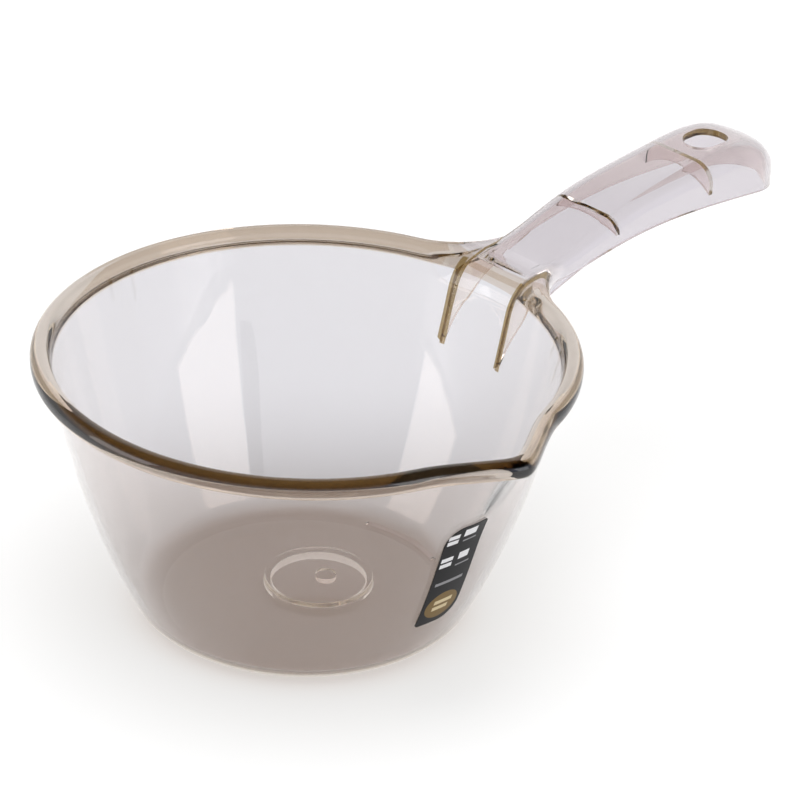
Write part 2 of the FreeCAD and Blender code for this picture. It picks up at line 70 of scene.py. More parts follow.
class Pick(Enum):
    """What a selection is made of."""

    VERTS = "VERT"
    EDGES = "EDGE"
    FACES = "FACE"


class Join(Enum):
    """How one closed shape changes another."""

    ADD = "UNION"
    CUT = "DIFFERENCE"
    KEEP = "INTERSECT"


def metres(point: Sequence[float]) -> Vector:
    """Turn a point in millimetres into metres."""
    return Vector(point) * METRES_PER_MM


def clamp(value: float) -> float:
    """Keep a value between 0 and 1."""
    return min(1.0, max(0.0, value))


def linear(code: str) -> tuple[float, float, float, float]:
    """Turn an sRGB hex colour into the linear colour that a socket takes.

    Args:
        code: Six hex digits after a hash sign.

    Returns:
        Red, green, blue and an alpha of 1.
    """
    parts = [int(code[place:place + 2], 16) / 255 for place in (1, 3, 5)]
    red, green, blue = (part / 12.92 if part <= 0.04045 else ((part + 0.055) / 1.055) ** 2.4
                        for part in parts)
    return red, green, blue, 1.0


def choose(item: bpy.types.Object) -> None:
    """Deselect everything, then select one object and make it the active one.

    Args:
        item: The object that is wanted.
    """
    bpy.ops.object.select_all(action="DESELECT")
    item.select_set(True)
    bpy.context.view_layer.objects.active = item


@contextmanager
def editing(item: bpy.types.Object) -> Iterator[None]:
    """Hold one object in edit mode.

    Args:
        item: The object to edit.

    Yields:
        Nothing, while the object is in edit mode.
    """
    choose(item)
    bpy.ops.object.mode_set(mode="EDIT")
    try:
        yield
    finally:
        bpy.ops.object.mode_set(mode="OBJECT")


def pick(item: bpy.types.Object, kind: Pick, test: Callable[[Vector], bool]) -> None:
    """Select by place, in edit mode, with everything else deselected.

    Args:
        item: The object that is being edited.
        kind: What to select.
        test: Takes the middle of a vertex, edge or face in millimetres, and is true where it is wanted.
    """
    bpy.ops.mesh.select_mode(type=kind.value)
    bpy.ops.mesh.select_all(action="DESELECT")
    mesh = bmesh.from_edit_mesh(item.data)
    group = {Pick.VERTS: mesh.verts, Pick.EDGES: mesh.edges, Pick.FACES: mesh.faces}[kind]
    for element in group:
        if kind is Pick.VERTS:
            middle = element.co
        elif kind is Pick.EDGES:
            middle = (element.verts[0].co + element.verts[1].co) / 2
        else:
            middle = element.calc_center_median()
        element.select = test(middle / METRES_PER_MM)
    mesh.select_flush_mode()
    bmesh.update_edit_mesh(item.data)


def draw_chain(name: str, points: Sequence[Sequence[float]]) -> bpy.types.Object:
    """Draw a chain of edges by extruding one vertex from point to point.

    Args:
        name: The new object's name.
        points: The chain's points in millimetres.

    Returns:
        The new object.
    """
    bpy.ops.object.select_all(action="DESELECT")
    bpy.ops.mesh.primitive_plane_add(size=METRES_PER_MM)
    item = bpy.context.object
    item.name = name
    places = [metres(point) for point in points]
    with editing(item):
        bpy.ops.mesh.select_mode(type=Pick.VERTS.value)
        bpy.ops.mesh.select_all(action="SELECT")
        bpy.ops.mesh.merge(type="CENTER")
        bpy.ops.transform.translate(value=places[0])
        for start, end in zip(places, places[1:]):
            bpy.ops.mesh.extrude_vertices_move(TRANSFORM_OT_translate={"value": end - start})
    return item


def draw_block(name: str, outline: Sequence[Sequence[float]], along: Sequence[float]) -> bpy.types.Object:
    """Draw a closed outline, fill it and extrude it into a block.

    Args:
        name: The new object's name.
        outline: The outline's points in millimetres, without the first one again.
        along: How far the face is extruded, in millimetres.

    Returns:
        The new object.
    """
    item = draw_chain(name, outline)
    with editing(item):
        bpy.ops.mesh.select_all(action="SELECT")
        bpy.ops.mesh.edge_face_add()
        bpy.ops.mesh.extrude_region_move(TRANSFORM_OT_translate={"value": metres(along)})
        bpy.ops.mesh.select_all(action="SELECT")
        bpy.ops.mesh.normals_make_consistent(inside=False)
    return item


def spin_profile(name: str, profile: Sequence[Row], steps: int) -> bpy.types.Object:
    """Draw half a section, spin it round the bowl's axis and close it by a level face at each end.

    Args:
        name: The new object's name.
        profile: Radius and height of each point in millimetres, from the lowest to the highest.
        steps: Columns of faces round the axis.

    Returns:
        The new object. Its vertices come column by column, each in the profile's order.
    """
    item = draw_chain(name, [(radius, 0.0, height) for radius, height in profile])
    with editing(item):
        bpy.ops.mesh.select_all(action="SELECT")
        bpy.ops.mesh.spin(steps=steps, angle=2 * math.pi, center=(0, 0, 0), axis=(0, 0, 1))
        for _, height in (profile[0], profile[-1]):
            pick(item, Pick.VERTS, lambda place, level=height: abs(place.z - level) < NEAR_MM)
            bpy.ops.mesh.edge_face_add()
        bpy.ops.mesh.select_all(action="SELECT")
        bpy.ops.mesh.normals_make_consistent(inside=False)
    return item


def turned_rows(centre: Row, radius: float, lean: float, slope: float, steps: int) -> list[Row]:
    """Points of a curve that turns from the leaning wall outwards.

    Args:
        centre: Radius and height of the curve's middle.
        radius: The curve's radius.
        lean: Lean of the wall in radians.
        slope: Slope at which the curve ends, in degrees.
        steps: Number of steps.

    Returns:
        Radius and height of each point.
    """
    end = math.pi / 2 - math.radians(slope)
    angles = [lean + (end - lean) * step / steps for step in range(steps + 1)]
    return [(centre[0] - radius * math.cos(angle), centre[1] + radius * math.sin(angle)) for angle in angles]


def weld(gap: float, sliver: float) -> None:
    """Merge vertices that all but touch and drop faces without area, in edit mode.

    Args:
        gap: Largest distance that is merged, in metres.
        sliver: Longest edge that counts as none, in metres.
    """
    bpy.ops.mesh.select_all(action="SELECT")
    bpy.ops.mesh.remove_doubles(threshold=gap)
    bpy.ops.mesh.dissolve_degenerate(threshold=sliver)


def loft_rings(name: str, rings: Sequence[Sequence[Point]]) -> bpy.types.Object:
    """Lay faces between rings of points, close the first ring, and merge the last, which is flat.

    Args:
        name: The new object's name.
        rings: Rings of as many points each, in millimetres.

    Returns:
        The new object.
    """
    mesh = bpy.data.meshes.new(name)
    count = len(rings[0])
    faces = [tuple(range(count))]
    for row in range(len(rings) - 1):
        for place in range(count):
            near, far = row * count + place, row * count + (place + 1) % count
            faces.append((near, near + count, far + count, far))
    mesh.from_pydata([metres(point) for ring in rings for point in ring], [], faces)
    item = bpy.data.objects.new(name, mesh)
    bpy.context.collection.objects.link(item)
    with editing(item):
        weld(gap=1e-6, sliver=1e-7)
        bpy.ops.mesh.select_all(action="SELECT")
        bpy.ops.mesh.normals_make_consistent(inside=False)
    return item


def join(target: bpy.types.Object, tool: bpy.types.Object, how: Join) -> None:
    """Add one closed shape to another, cut it out or keep what they share, and drop the tool.

    Args:
        target: The shape that is changed.
        tool: The shape that changes it.
        how: What is done.
    """
    choose(target)
    bpy.ops.object.modifier_add(type="BOOLEAN")
    modifier = target.modifiers[-1]
    modifier.operation = how.value
    modifier.solver = "MANIFOLD"
    modifier.object = tool
    bpy.ops.object.modifier_apply(modifier=modifier.name)
    bpy.data.objects.remove(tool, do_unlink=True)


def add_node(tree: bpy.types.NodeTree, kind: str, links: dict[str | int, bpy.types.NodeSocket] | None = None,
             values: dict[str | int, object] | None = None, **settings: object) -> bpy.types.Node:
    """Add a node with its settings, socket values and links.

    Args:
        tree: The node tree.
        kind: The node's type name.
        links: Sockets that feed the node's inputs, by input name or number.
        values: Constant values of inputs, by input name or number.
        **settings: Properties of the node.

    Returns:
        The new node.
    """
    node = tree.nodes.new(kind)
    for key, value in settings.items():
        setattr(node, key, value)
    for key, value in (values or {}).items():
        node.inputs[key].default_value = value
    for key, socket in (links or {}).items():
        tree.links.new(socket, node.inputs[key])
    return node


def within(tree: bpy.types.NodeTree, place: bpy.types.NodeSocket, centre: Point, half: Point,
           rounded: bool = False) -> bpy.types.NodeSocket:
    """A socket that is 1 inside a box, or inside the ellipsoid that fills it.

    Args:
        tree: The material's nodes.
        place: Coordinates in metres.
        centre: Middle of the box, in millimetres.
        half: Half sizes of the box, in millimetres.
        rounded: True for the ellipsoid.

    Returns:
        The socket.
    """
    moved = add_node(tree, "ShaderNodeVectorMath", {0: place}, {1: metres(centre)}, operation="SUBTRACT")
    scaled = add_node(tree, "ShaderNodeVectorMath", {0: moved.outputs["Vector"]}, {1: metres(half)},
                      operation="DIVIDE")
    if rounded:
        far = add_node(tree, "ShaderNodeVectorMath", {0: scaled.outputs["Vector"]},
                       operation="LENGTH").outputs["Value"]
    else:
        size = add_node(tree, "ShaderNodeVectorMath", {0: scaled.outputs["Vector"]}, operation="ABSOLUTE")
        parts = add_node(tree, "ShaderNodeSeparateXYZ", {"Vector": size.outputs["Vector"]}).outputs
        flat = add_node(tree, "ShaderNodeMath", {0: parts["X"], 1: parts["Y"]}, operation="MAXIMUM")
        far = add_node(tree, "ShaderNodeMath", {0: flat.outputs[0], 1: parts["Z"]},
                       operation="MAXIMUM").outputs[0]
    return add_node(tree, "ShaderNodeMath", {0: far}, {1: 1.0}, operation="LESS_THAN").outputs[0]


def new_material(name: str) -> bpy.types.Material:
    """Make a material whose node tree is empty.

    Args:
        name: The material's name.

    Returns:
        The new material.
    """
    material = bpy.data.materials.new(name)
    material.use_nodes = True
    material.node_tree.nodes.clear()
    return material


@dataclass(frozen=True)
class SmoothLine:
    """A smooth curve through points in the handle's middle plane, read as a height at each X."""

    points: tuple[Row, ...]

    def bends(self) -> list[float]:
        """Second derivative at each point, for a cubic spline whose ends are straight.

        Returns:
            One value for each point.
        """
        count = len(self.points)
        diagonal, right = [1.0] * count, [0.0] * count
        gaps = [self.points[i + 1][0] - self.points[i][0] for i in range(count - 1)]
        rises = [(self.points[i + 1][1] - self.points[i][1]) / gaps[i] for i in range(count - 1)]
        upper = [0.0] * count
        for i in range(1, count - 1):
            factor = gaps[i - 1] / diagonal[i - 1] if i > 1 else 0.0
            diagonal[i] = 2 * (gaps[i - 1] + gaps[i]) - factor * upper[i - 1]
            upper[i] = gaps[i]
            right[i] = 6 * (rises[i] - rises[i - 1]) - factor * right[i - 1]
        bends = [0.0] * count
        for i in range(count - 2, 0, -1):
            bends[i] = (right[i] - upper[i] * bends[i + 1]) / diagonal[i]
        return bends

    def height(self, x: float) -> float:
        """Height of the curve at an X.

        Args:
            x: The place in millimetres.

        Returns:
            The height in millimetres.
        """
        bends = self.bends()
        last = len(self.points) - 2
        i = next((k for k in range(last) if x < self.points[k + 1][0]), last)
        (x0, z0), (x1, z1) = self.points[i], self.points[i + 1]
        gap = x1 - x0
        a, b = (x1 - x) / gap, (x - x0) / gap
        return (a * z0 + b * z1
                + ((a ** 3 - a) * bends[i] + (b ** 3 - b) * bends[i + 1]) * gap ** 2 / 6)


@dataclass
class Bowl:
    """The bowl: its wall with the spout, the floor and the rim bead.

    The curve on to the handle is whole up to the angle flare_full and has gone at flare_none. The wall stands
    out by label_bed, so that the label's adhesive touches it all over. The fields named clear say how far the
    space in the bowl is drawn past the rim.
    """

    rim_radius: float = 84.0
    rim_top: float = 88.7
    bead_rise: float = 5.8
    bead_overhang: float = 4.8
    bead_top_round: float = 2.8
    bead_under_round: float = 2.3
    lip_round: float = 2.8
    lip_exit: float = 8.0
    wall: float = 2.2
    floor: float = 2.5
    foot_radius: float = 44.0
    foot_corner: float = 11.5
    foot_lean: float = 27.0
    rim_lean: float = 12.5
    spout_reach: float = 10.0
    spout_wall_reach: float = 9.2
    spout_half_angle: float = 17.5
    spout_blunt: float = 1.8
    spout_power: float = 1.7
    spout_depth: float = 35.0
    shoulder_round: float = 27.0
    shoulder_sink: float = 0.6
    flare_round: float = 14.0
    flare_exit: float = 13.0
    flare_full: float = 8.0
    flare_none: float = 19.0
    label_bed: float = 0.02
    columns: int = 288
    corner_steps: int = 10
    wall_steps: int = 36
    rise_steps: int = 6
    lip_steps: int = 10
    run_steps: int = 4
    spout_steps: int = 64
    shoulder_steps: int = 28
    bead_segments: int = 9
    rim_step: float = 1.25
    insets: tuple[float, ...] = (0.7, 0.7, 0.7)
    clear_out: float = 6.0
    clear_step: float = 1.0
    clear_up: float = 24.0

    @property
    def bead_low(self) -> float:
        """Height of the bead's lower edge."""
        return self.rim_top - self.bead_rise

    def spout_share(self, angle: float) -> float:
        """Rise of the spout at an angle from its middle.

        Args:
            angle: The angle in radians.

        Returns:
            1 at the tip, 0 past the spout's ends.
        """
        blunt = math.radians(self.spout_blunt)
        along = (math.hypot(angle, blunt) - blunt) / math.radians(self.spout_half_angle)
        return max(0.0, 1.0 - along) ** self.spout_power

    def trough_share(self, height: float) -> float:
        """Depth of the spout's trough in the wall at a height: 1 from the bead up, 0 below the trough."""
        up = (height - self.bead_low + self.spout_depth) / self.spout_depth
        return clamp(up) ** 2

    def wall_rows(self, inset: float, top: float) -> list[Row]:
        """Half section of the wall from the flat of the base up.

        Args:
            inset: How far the section is moved in, square to the wall.
            top: Height at which it ends.

        Returns:
            Radius and height of each point.
        """
        turn = math.radians(90 - self.foot_lean)
        bend = self.foot_corner - inset
        rows = [(self.foot_radius + bend * math.sin(turn * step / self.corner_steps),
                 self.foot_corner - bend * math.cos(turn * step / self.corner_steps))
                for step in range(self.corner_steps + 1)]
        start = Vector((self.foot_radius + self.foot_corner * math.sin(turn),
                        self.foot_corner * (1 - math.cos(turn))))
        end = Vector((self.rim_radius - self.bead_overhang, self.bead_low))
        low_way, high_way = (Vector((math.sin(math.radians(lean)), math.cos(math.radians(lean))))
                             for lean in (self.foot_lean, self.rim_lean))
        reach = (end - start).length / 3
        poles = [start, start + low_way * reach, end - high_way * reach, end]

        def point(share: float) -> Vector:
            """Point of the moved line.

            Args:
                share: How far along the line it is, 0 at its start and 1 at its end.

            Returns:
                Radius and height.
            """
            rest = 1 - share
            along = ((poles[1] - poles[0]) * rest ** 2 + (poles[2] - poles[1]) * (2 * rest * share)
                     + (poles[3] - poles[2]) * share ** 2).normalized()
            place = (poles[0] * rest ** 3 + poles[1] * (3 * rest ** 2 * share)
                     + poles[2] * (3 * rest * share ** 2) + poles[3] * share ** 3)
            return place + Vector((-along.y, along.x)) * inset

        # A top above the bead's lower edge lies a little past the line's end.
        low, high = 0.0, 1.2
        for _ in range(HALVINGS):
            middle = (low + high) / 2
            low, high = (middle, high) if point(middle).y < top else (low, middle)
        for step in range(1, self.wall_steps + 1):
            rows.append(tuple(point(high * step / self.wall_steps)))
        return rows

    def draw_spout(self, item: bpy.types.Object) -> None:
        """Draw the spout out of a spun wall: each vertex near it moves straight out from the axis.

        Args:
            item: The wall.
        """
        for vertex in item.data.vertices:
            place = vertex.co / METRES_PER_MM
            angle = math.remainder(math.atan2(place.y, place.x) + math.pi / 2, 2 * math.pi)
            rise = self.spout_wall_reach * self.spout_share(angle) * self.trough_share(place.z)
            if rise > 0:
                out = Vector((place.x, place.y, 0)).normalized()
                vertex.co = (place + out * rise) * METRES_PER_MM

    def outside(self) -> bpy.types.Object:
        """The bowl as a solid body up into the bead.

        Returns:
            The new object.
        """
        rows = self.wall_rows(-self.label_bed, self.bead_low)
        rows = [(radius, max(height, 0.0)) for radius, height in rows]
        lift = self.bead_rise / 2
        rows.append((rows[-1][0] + lift * math.tan(math.radians(self.rim_lean)), rows[-1][1] + lift))
        item = spin_profile("bowl_outside", rows, self.columns)
        self.draw_spout(item)
        return item

    def flare_centre(self) -> Row:
        """Middle of the curve from the bowl's inside on to the handle.

        Returns:
            Radius and height.
        """
        lean = math.radians(self.rim_lean)
        low = self.rim_top - self.flare_round
        radius = self.wall_rows(self.wall, low + self.flare_round * math.sin(lean))[-1][0]
        return radius + self.flare_round * math.cos(lean), low

    def inside_profiles(self) -> tuple[list[Row], list[Row]]:
        """Half sections of the space in the bowl.

        Returns:
            The one at the plain rim and the one at the handle, with as many points.
        """
        lean = math.radians(self.rim_lean)
        centre = self.flare_centre()
        rows = self.wall_rows(self.wall, centre[1] + self.flare_round * math.sin(lean))
        lift = self.floor - self.wall
        rows = [(radius, height + lift * max(0.0, 1 - step / self.corner_steps))
                for step, (radius, height) in enumerate(rows)]
        radius, height = rows[-1]
        lip_low = self.rim_top - self.lip_round * (1 - math.sin(lean))
        lip_radius = radius + (lip_low - height) * math.tan(lean)
        rise = [(radius + (lip_radius - radius) * step / self.rise_steps,
                 height + (lip_low - height) * step / self.rise_steps)
                for step in range(1, self.rise_steps)]
        lip_centre = (lip_radius + self.lip_round * math.cos(lean), self.rim_top - self.lip_round)
        lip = turned_rows(lip_centre, self.lip_round, lean, self.lip_exit, self.lip_steps)
        flare = turned_rows(centre, self.flare_round, lean, self.flare_exit, self.rise_steps + self.lip_steps)
        far = self.rim_radius + self.spout_reach + self.clear_out
        profiles = []
        for tail, slope in ((rise + lip, self.lip_exit), (flare[1:], self.flare_exit)):
            out, up = tail[-1]
            for step in range(1, self.run_steps + 1):
                share = (step / self.run_steps) ** 2
                tail.append((out + (far - out) * share,
                             up + (far - out) * share * math.tan(math.radians(slope))))
            tail.append((far + self.clear_step, self.rim_top + self.clear_up))
            profiles.append(rows + tail)
        return profiles[0], profiles[1]

    def inside(self) -> bpy.types.Object:
        """The space in the bowl, which opens on to the handle in one smooth curve.

        Returns:
            The new object.
        """
        plain, flared = self.inside_profiles()
        item = spin_profile("bowl_inside", plain, self.columns)
        full, none = math.radians(self.flare_full), math.radians(self.flare_none)
        for vertex in item.data.vertices:
            angle = math.atan2(vertex.co.y, vertex.co.x)
            share = clamp((abs(angle) - full) / (none - full))
            share = share * share * (3 - 2 * share)
            if share < 1:
                (radius, height), (wide, high) = (rows[vertex.index % len(plain)]
                                                  for rows in (plain, flared))
                radius, height = wide + (radius - wide) * share, high + (height - high) * share
                vertex.co = metres((radius * math.cos(angle), radius * math.sin(angle), height))
        self.draw_spout(item)
        return item

    def rim_arc(self, start: float, end: float) -> list[Vector]:
        """Points of the plain rim's circle between two angles, without its ends.

        Args:
            start: First angle in radians.
            end: Last angle in radians.

        Returns:
            The points.
        """
        steps = round((end - start) / math.radians(self.rim_step))
        angles = [start + (end - start) * step / steps for step in range(1, steps)]
        return [self.rim_radius * Vector((math.cos(angle), math.sin(angle))) for angle in angles]

    def rim_outline(self, handle: "Handle") -> tuple[list[Point], float]:
        """Outline of the rim from above: circle, spout, and a hollow shoulder each side of the handle.

        Args:
            handle: The handle that the shoulders run out on.

        Returns:
            The outline's points and the X of its straight end inside the handle.
        """
        side_from, along, square = handle.side_line()
        base = side_from + square * (self.shoulder_round - self.shoulder_sink)
        ahead = base.dot(along)
        gap = self.rim_radius + self.shoulder_round
        middle = base + along * (math.sqrt(ahead ** 2 - base.dot(base) + gap ** 2) - ahead)
        on_side = middle - square * self.shoulder_round
        on_rim = middle * (self.rim_radius / gap)
        start_angle = math.atan2(on_rim.y, on_rim.x)
        first, last = (math.atan2(place.y - middle.y, place.x - middle.x) for place in (on_side, on_rim))
        last -= 2 * math.pi if last > first else 0.0
        shoulder = [middle + self.shoulder_round * Vector((math.cos(angle), math.sin(angle)))
                    for angle in (first + (last - first) * step / self.shoulder_steps
                                  for step in range(self.shoulder_steps + 1))]
        blunt = math.radians(self.spout_blunt)
        ends = math.sqrt((math.radians(self.spout_half_angle) + blunt) ** 2 - blunt ** 2)
        points = shoulder + self.rim_arc(start_angle, 1.5 * math.pi - ends)
        for step in range(self.spout_steps + 1):
            angle = ends * (2 * step / self.spout_steps - 1)
            radius = self.rim_radius + self.spout_reach * self.spout_share(angle)
            points.append(radius * Vector((math.sin(angle), -math.cos(angle))))
        points += self.rim_arc(1.5 * math.pi + ends, 2 * math.pi - start_angle)
        points += [Vector((place.x, -place.y)) for place in reversed(shoulder)]
        return [(place.x, place.y, self.bead_low) for place in points], on_side.x

    def rim(self, handle: "Handle") -> bpy.types.Object:
        """The bead as a plate over the whole bowl, rounded above and below all along its outer edge.

        Args:
            handle: The handle that the plate runs into.

        Returns:
            The new object.
        """
        outline, end = self.rim_outline(handle)
        item = draw_block("rim_bead", outline, (0, 0, self.bead_rise))
        sides = ((self.rim_top, self.bead_top_round), (self.bead_low, self.bead_under_round))
        with editing(item):
            for level, radius in sides:
                pick(item, Pick.EDGES,
                     lambda place: abs(place.z - level) < NEAR_MM and place.x < end - NEAR_MM)
                bpy.ops.mesh.bevel(offset=radius * METRES_PER_MM, segments=self.bead_segments, profile=0.5,
                                   affect="EDGES", clamp_overlap=False)
            pick(item, Pick.FACES, lambda place: place.z > self.rim_top - NEAR_MM)
            for inset in self.insets:
                bpy.ops.mesh.inset(thickness=inset * METRES_PER_MM, depth=0)
        return item


@dataclass
class Handle:
    """The handle: a hollow shell open below, with cross webs, gussets and a hanging slot.

    The deck is the line of its top and the skirt that of its lower edge, in the middle plane. Each web is the
    X of its middle, its depth under the deck there and the radius of its hollow lower edge. The fields named
    clear say how far a cutting shape is drawn past the handle.
    """

    reach: float = 206.0
    start: float = 82.0
    neck_half: float = 13.6
    tip_half: float = 16.0
    tip_inset: float = 16.0
    deck_wall: float = 2.4
    skirt_wall: float = 2.0
    neck_round: float = 4.0
    tip_round: float = 8.0
    deck: SmoothLine = SmoothLine((
        (68.1, 87.9), (85.2, 88.1), (92.1, 88.7), (102.3, 90.4), (112.6, 93.3), (124.0, 96.6),
        (145.0, 99.9), (167.3, 101.8), (179.8, 102.4), (190.1, 101.2), (199.2, 98.2), (212.8, 91.2)))
    skirt: SmoothLine = SmoothLine((
        (79.5, 84.0), (100.0, 83.4), (112.6, 85.2), (128.5, 87.4), (146.8, 88.2), (167.3, 87.2),
        (190.1, 85.0), (212.8, 82.6)))
    gusset: tuple[Row, ...] = (
        (73.1, 60.9), (77.4, 67.1), (84.2, 73.2), (96.5, 80.0), (109.1, 84.0), (115.2, 87.3))
    gusset_tops: tuple[float, float] = (84.0, 87.6)
    gusset_inset: float = 0.25
    web_wall: float = 1.6
    webs: tuple[tuple[float, float, float], ...] = ((123.7, 1.9, 37.8), (167.0, 3.7, 21.4))
    slot_place: float = 179.7
    slot_length: float = 16.2
    slot_width: float = 12.6
    slot_tilt: float = 3.0
    slot_cut: float = 12.0
    channel_low: float = 50.9
    channel_lean: float = 20.5
    clear: float = 10.0
    clear_over: float = 20.0
    clear_under: float = 4.0
    web_over: float = 26.0
    columns: int = 96
    tip_columns: int = 32
    side_steps: int = 5
    round_steps: int = 10
    deck_steps: int = 8
    gusset_steps: int = 28
    flare_steps: int = 24
    slot_steps: int = 48
    arch_facets: int = 256

    def side_line(self) -> tuple[Vector, Vector, Vector]:
        """The line of the handle's side, seen from above.

        Returns:
            Where it begins, the way it runs and the way out of the handle.
        """
        begin = Vector((self.start, self.neck_half))
        along = (Vector((self.reach - self.tip_inset, self.tip_half)) - begin).normalized()
        return begin, along, Vector((-along.y, along.x))

    def shell(self, name: str, inset: float, root: float, drop: float,
              low: Callable[[float], float], rounds: tuple[float, float]) -> bpy.types.Object:
        """The handle's block, its top edges rounded more and more to the tip and closed round its end.

        It is laid out ring by ring from its plan and side view, because edge operators leave a rounding
        that grows along its length uneven.

        Args:
            name: The new object's name.
            inset: How far the sides are moved in.
            root: X at which the block begins.
            drop: How far the top is moved down.
            low: Height of the lower edge at an X.
            rounds: Radius of the rounding at the neck and at the tip.

        Returns:
            The new object.
        """
        begin, along, square = self.side_line()
        begin = begin - square * inset
        tip = self.reach - inset
        radius = (begin.y * square.y - (tip - begin.x) * square.x) / (1 - square.x)
        touch = Vector((tip - radius, 0)) + square * radius
        first = begin + along * ((root - begin.x) / along.x)
        arc_from = math.atan2(square.y, square.x)
        stations = []
        for step in range(self.columns + 1):
            place = first.lerp(touch, step / self.columns)
            share = clamp((place.x - self.start) / (touch.x - self.start))
            stations.append((place, -square, rounds[0] + (rounds[1] - rounds[0]) * share))
        for step in range(1, self.tip_columns + 1):
            angle = arc_from * (1 - step / self.tip_columns)
            out = Vector((math.cos(angle), math.sin(angle)))
            stations.append((Vector((tip - radius, 0)) + out * radius, -out, rounds[1]))
        rings = []
        for place, inward, bend in stations:
            bottom = low(place.x)
            side_top = self.deck.height(place.x) - drop - bend
            half = [(place.x, place.y, bottom + (side_top - bottom) * step / self.side_steps)
                    for step in range(self.side_steps)]
            for step in range(self.round_steps + 1):
                angle = math.pi / 2 * step / self.round_steps
                spot = place + inward * bend * (1 - math.cos(angle))
                half.append((spot.x, spot.y,
                             self.deck.height(spot.x) - drop - bend * (1 - math.sin(angle))))
            x, y, _ = half[-1]
            top = [(x, y * (1 - 2 * step / self.deck_steps), self.deck.height(x) - drop)
                   for step in range(1, self.deck_steps)]
            under = [(place.x, place.y * (2 * step / self.deck_steps - 1), bottom)
                     for step in range(1, self.deck_steps)]
            rings.append(half + top + [(x, -y, z) for x, y, z in reversed(half)] + under)
        return loft_rings(name, rings)

    def outside(self) -> bpy.types.Object:
        """The handle as a solid block from inside the rim to the tip."""
        return self.shell("handle_outside", 0.0, self.start, 0.0, self.skirt.height,
                          (self.neck_round, self.tip_round))

    def gussets(self) -> bpy.types.Object:
        """Both gussets as one block as wide as the neck; the channel parts them.

        Returns:
            The new object.
        """
        half = self.neck_half - self.gusset_inset
        curve = SmoothLine(tuple((z, x) for x, z in self.gusset))
        low, high = self.gusset[0][1], self.gusset[-1][1]
        heights = [low + (high - low) * step / self.gusset_steps for step in range(self.gusset_steps + 1)]
        edge = [(curve.height(height), -half, height) for height in heights]
        tops = [(self.gusset[-1][0], -half, self.gusset_tops[1]),
                (self.gusset[0][0], -half, self.gusset_tops[0])]
        return draw_block("gussets", edge + tops, (0, 2 * half, 0))

    def channel(self, bowl: Bowl) -> bpy.types.Object:
        """Space under the handle, open below, parted by the webs, that stops at the flare and the wall.

        Args:
            bowl: The bowl whose flare and wall it keeps clear of.

        Returns:
            The new object.
        """
        inside = self.shell("channel", self.skirt_wall, self.start - self.clear, self.deck_wall,
                            lambda x: self.channel_low,
                            (self.neck_round - self.skirt_wall, self.tip_round - self.skirt_wall))
        lean = math.radians(bowl.rim_lean)
        out, up = bowl.flare_centre()
        bend = bowl.flare_round - bowl.wall
        wide = self.tip_half + self.clear
        angles = [lean + (math.pi / 2 - lean) * step / self.flare_steps
                  for step in range(self.flare_steps + 1)]
        arc = [(out - bend * math.cos(angle), -wide, up + bend * math.sin(angle)) for angle in angles]
        low, high = self.channel_low - self.clear_under, bowl.rim_top + self.clear_over
        foot = arc[0][0] - (arc[0][2] - low) * math.tan(math.radians(self.channel_lean))
        far = self.reach + self.clear
        outline = arc + [(out, -wide, high), (far, -wide, high), (far, -wide, low), (foot, -wide, low)]
        join(inside, draw_block("flare_limit", outline, (0, 2 * wide, 0)), Join.KEEP)
        for place, depth, arch in self.webs:
            join(inside, self.web(bowl, place, depth, arch), Join.CUT)
        return inside

    def web(self, bowl: Bowl, place: float, depth: float, arch: float) -> bpy.types.Object:
        """One cross web as a plate with a hollow lower edge, wider than the handle.

        Args:
            bowl: The bowl, for the height where the plate begins.
            place: X of the web's middle.
            depth: Depth of the web under the handle's top, in the middle.
            arch: Radius of the hollow lower edge.

        Returns:
            The new object.
        """
        centre = self.deck.height(place) - self.deck_wall - depth - arch
        low, high = bowl.bead_low, bowl.rim_top + self.web_over
        bpy.ops.object.select_all(action="DESELECT")
        bpy.ops.mesh.primitive_cube_add(size=1, location=metres((place, 0, (low + high) / 2)),
                                        scale=metres((self.web_wall, 2 * self.tip_half, high - low)))
        plate = bpy.context.object
        plate.name = "web_plate"
        bpy.ops.object.transform_apply(location=True, rotation=True, scale=True)
        bpy.ops.object.select_all(action="DESELECT")
        bpy.ops.mesh.primitive_cylinder_add(
            vertices=self.arch_facets, radius=arch * METRES_PER_MM, depth=2 * self.clear * METRES_PER_MM,
            location=metres((place, 0, centre)), rotation=(0, math.pi / 2, 0))
        hollow = bpy.context.object
        bpy.ops.object.transform_apply(location=True, rotation=True, scale=True)
        join(plate, hollow, Join.CUT)
        return plate

    def slot(self) -> bpy.types.Object:
        """Round-ended hanging slot through the handle's top, square to its slope.

        Returns:
            The new object.
        """
        radius = self.slot_width / 2
        shift = (self.slot_length - self.slot_width) / 2
        outline = []
        for side, turn in ((1, -math.pi / 2), (-1, math.pi / 2)):
            angles = [turn + math.pi * step / self.slot_steps for step in range(self.slot_steps + 1)]
            outline += [(side * shift + radius * math.cos(angle), radius * math.sin(angle), -self.slot_cut)
                        for angle in angles]
        item = draw_block("hanging_slot", outline, (0, 0, 2 * self.slot_cut))
        top = self.deck.height(self.slot_place)
        item.matrix_world = (Matrix.Translation(metres((self.slot_place, 0, top)))
                             @ Matrix.Rotation(math.radians(-self.slot_tilt), 4, "Y"))
        choose(item)
        bpy.ops.object.transform_apply(location=True, rotation=True, scale=True)
        return item


